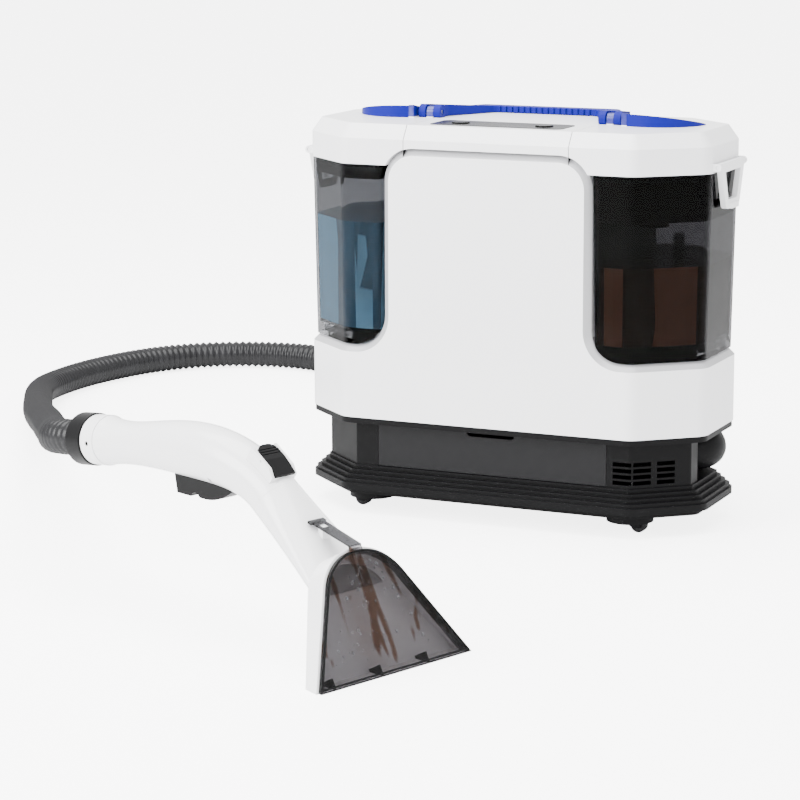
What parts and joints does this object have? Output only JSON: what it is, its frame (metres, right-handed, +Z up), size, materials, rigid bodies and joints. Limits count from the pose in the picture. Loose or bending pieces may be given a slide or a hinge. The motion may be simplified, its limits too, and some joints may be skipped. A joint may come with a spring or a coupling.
{
  "type": "spot extractor",
  "caption": "Upright white portable spot extractor with end tanks on a black base, and a hose to a white hand tool with a clear nozzle.",
  "frame": {"origin": "on the floor, under the middle of the footprint of machine and hand tool together, the hose left out", "axes": "+Y from the machine's front to its rear, +Z up, +X to the right seen from the front"},
  "size_m": [0.8809, 1.1635, 0.3682],
  "materials": {
    "black_base": "matt black moulded plastic",
    "black_panel": "glossy black moulded plastic",
    "black_trim": "black moulded plastic",
    "blue_button": "blue push button",
    "blue_trim": "royal blue moulded plastic",
    "circuit_green": "printed circuit board",
    "clear_nozzle": "clear plastic",
    "clear_tank": "smoky clear plastic",
    "dark_trim": "dark grey moulded plastic",
    "hose_black": "ribbed black hose",
    "seal_rubber": "soft black rubber",
    "steel": "turned steel",
    "wheel_rubber": "hard black rubber",
    "white_body": "smooth white moulded plastic, satin gloss"
  },
  "bodies": {
    "machine": {"base_housing": "black_base", "base_plate": "black_base", "caster_cups": "black_base", "centre_cover": "white_body", "control_board": "circuit_green", "control_strip": "dark_trim", "cord_rack": "black_trim", "fan_housing": "dark_trim", "front_shell": "white_body", "handle_pins": "steel", "handle_ring": "white_body", "hose": "hose_black", "hose_collar": "black_trim", "hose_cuff": "black_trim", "latch_block": "white_body", "mains_gland": "black_trim", "motor_mount": "dark_trim", "port_elbow": "black_trim", "rear_shell": "white_body", "spray_valve": "dark_trim", "suction_motor": "steel", "suction_riser": "dark_trim", "tool_handle": "white_body", "tool_pins": "steel", "water_pump": "dark_trim"},
    "service_cover": {"service_cover": "black_panel"},
    "power_button": {"power_button": "blue_button"},
    "mode_button": {"mode_button": "blue_button"},
    "carry_handle": {"carry_handle": "blue_trim"},
    "clean_tank": {"clean_tank": "clear_tank"},
    "clean_valve": {"clean_valve": "dark_trim"},
    "dirty_tank": {"dirty_tank": "clear_tank"},
    "tank_float": {"tank_float": "white_body"},
    "clean_lid": {"clean_lid": "white_body", "clean_skirt": "dark_trim", "clean_seal": "seal_rubber", "clean_grip": "blue_trim"},
    "dirty_lid": {"dirty_lid": "white_body", "dirty_skirt": "dark_trim", "dirty_seal": "seal_rubber", "dirty_grip": "blue_trim"},
    "clean_bail": {"clean_bail": "white_body"},
    "dirty_bail": {"dirty_bail": "white_body"},
    "motor_fan": {"motor_fan": "dark_trim"},
    "upper_hook": {"upper_hook": "black_trim"},
    "lower_hook": {"lower_hook": "black_trim"},
    "front_left_fork": {"front_left_fork": "black_trim"},
    "front_left_wheel": {"front_left_wheel": "wheel_rubber"},
    "front_right_fork": {"front_right_fork": "black_trim"},
    "front_right_wheel": {"front_right_wheel": "wheel_rubber"},
    "rear_left_fork": {"rear_left_fork": "black_trim"},
    "rear_left_wheel": {"rear_left_wheel": "wheel_rubber"},
    "rear_right_fork": {"rear_right_fork": "black_trim"},
    "rear_right_wheel": {"rear_right_wheel": "wheel_rubber"},
    "trigger": {"trigger": "black_trim"},
    "release_button": {"release_button": "black_trim"},
    "nozzle": {"nozzle_body": "white_body", "spray_tip": "black_trim", "nozzle_rails": "black_trim"},
    "nozzle_cover": {"nozzle_cover": "clear_nozzle"}
  },
  "joints": [
    {"name": "service_cover_pull", "type": "slide", "parent": "machine", "child": "service_cover", "axis": [0, -1, 0], "range_m": [0, 0.04]},
    {"name": "power_button_press", "type": "slide", "parent": "machine", "child": "power_button", "axis": [0, 0, -1], "range_m": [0, 0.0012], "stiffness_N_per_m": 900, "springref_m": -0.001},
    {"name": "mode_button_press", "type": "slide", "parent": "machine", "child": "mode_button", "axis": [0, 0, -1], "range_m": [0, 0.0012], "stiffness_N_per_m": 900, "springref_m": -0.001},
    {"name": "carry_handle_fold", "type": "hinge", "parent": "machine", "child": "carry_handle", "pos_m": [0.01212, 0.24335, 0.3612], "axis": [1, 0, 0], "range_deg": [0, 95]},
    {"name": "clean_tank_lift", "type": "slide", "parent": "machine", "child": "clean_tank", "axis": [0, 0, 1], "range_m": [0, 0.2]},
    {"name": "clean_lid_lift", "type": "slide", "parent": "clean_tank", "child": "clean_lid", "axis": [0, 0, 1], "range_m": [0, 0.12]},
    {"name": "clean_bail_swing", "type": "hinge", "parent": "clean_lid", "child": "clean_bail", "pos_m": [-0.18449, 0.24735, 0.3256], "axis": [0, 1, 0], "range_deg": [0, 75]},
    {"name": "dirty_tank_lift", "type": "slide", "parent": "machine", "child": "dirty_tank", "axis": [0, 0, 1], "range_m": [0, 0.2]},
    {"name": "dirty_lid_lift", "type": "slide", "parent": "dirty_tank", "child": "dirty_lid", "axis": [0, 0, 1], "range_m": [0, 0.12]},
    {"name": "dirty_bail_swing", "type": "hinge", "parent": "dirty_lid", "child": "dirty_bail", "pos_m": [0.20872, 0.24735, 0.3256], "axis": [0, -1, 0], "range_deg": [0, 75]},
    {"name": "clean_valve_lift", "type": "slide", "parent": "clean_tank", "child": "clean_valve", "axis": [0, 0, 1], "range_m": [0, 0.004], "stiffness_N_per_m": 400, "springref_m": -0.002},
    {"name": "float_rise", "type": "slide", "parent": "dirty_tank", "child": "tank_float", "axis": [0, 0, 1], "range_m": [0, 0.06]},
    {"name": "fan_spin", "type": "hinge", "parent": "machine", "child": "motor_fan", "pos_m": [-0.01588, 0.24735, 0.186], "axis": [0, 0, 1], "continuous": true},
    {"name": "upper_hook_turn", "type": "hinge", "parent": "machine", "child": "upper_hook", "pos_m": [0.01212, 0.35785, 0.302], "axis": [0, 1, 0], "range_deg": [0, 180]},
    {"name": "lower_hook_turn", "type": "hinge", "parent": "machine", "child": "lower_hook", "pos_m": [0.01212, 0.35785, 0.19], "axis": [0, 1, 0], "range_deg": [0, 180]},
    {"name": "front_left_swivel", "type": "hinge", "parent": "machine", "child": "front_left_fork", "pos_m": [-0.11389, 0.19535, 0.017], "axis": [0, 0, 1], "continuous": true},
    {"name": "front_left_roll", "type": "hinge", "parent": "front_left_fork", "child": "front_left_wheel", "pos_m": [-0.12288, 0.19535, 0.007], "axis": [0, 1, 0], "continuous": true},
    {"name": "front_right_swivel", "type": "hinge", "parent": "machine", "child": "front_right_fork", "pos_m": [0.13811, 0.19535, 0.017], "axis": [0, 0, 1], "continuous": true},
    {"name": "front_right_roll", "type": "hinge", "parent": "front_right_fork", "child": "front_right_wheel", "pos_m": [0.14711, 0.19535, 0.007], "axis": [0, 1, 0], "continuous": true},
    {"name": "rear_left_swivel", "type": "hinge", "parent": "machine", "child": "rear_left_fork", "pos_m": [-0.11389, 0.29935, 0.017], "axis": [0, 0, 1], "continuous": true},
    {"name": "rear_left_roll", "type": "hinge", "parent": "rear_left_fork", "child": "rear_left_wheel", "pos_m": [-0.12288, 0.29935, 0.007], "axis": [0, 1, 0], "continuous": true},
    {"name": "rear_right_swivel", "type": "hinge", "parent": "machine", "child": "rear_right_fork", "pos_m": [0.13811, 0.29935, 0.017], "axis": [0, 0, 1], "continuous": true},
    {"name": "rear_right_roll", "type": "hinge", "parent": "rear_right_fork", "child": "rear_right_wheel", "pos_m": [0.14711, 0.29935, 0.007], "axis": [0, 1, 0], "continuous": true},
    {"name": "trigger_squeeze", "type": "hinge", "parent": "machine", "child": "trigger", "pos_m": [-0.04736, -0.22393, 0.119], "axis": [0.3437, 0.9391, 0], "range_deg": [0, 8], "stiffness_Nm_per_rad": 1.2, "springref_deg": -5.73},
    {"name": "release_press", "type": "hinge", "parent": "machine", "child": "release_button", "pos_m": [0.00524, -0.24318, 0.14203], "axis": [-0.3437, -0.9391, 0], "range_deg": [0, 5], "stiffness_Nm_per_rad": 0.8, "springref_deg": -2.86},
    {"name": "nozzle_detach", "type": "slide", "parent": "machine", "child": "nozzle", "axis": [0.664, -0.243, -0.7071], "range_m": [0, 0.04]},
    {"name": "cover_remove", "type": "slide", "parent": "nozzle", "child": "nozzle_cover", "axis": [0.8367, -0.3062, 0.454], "range_m": [0, 0.03]}
  ]
}
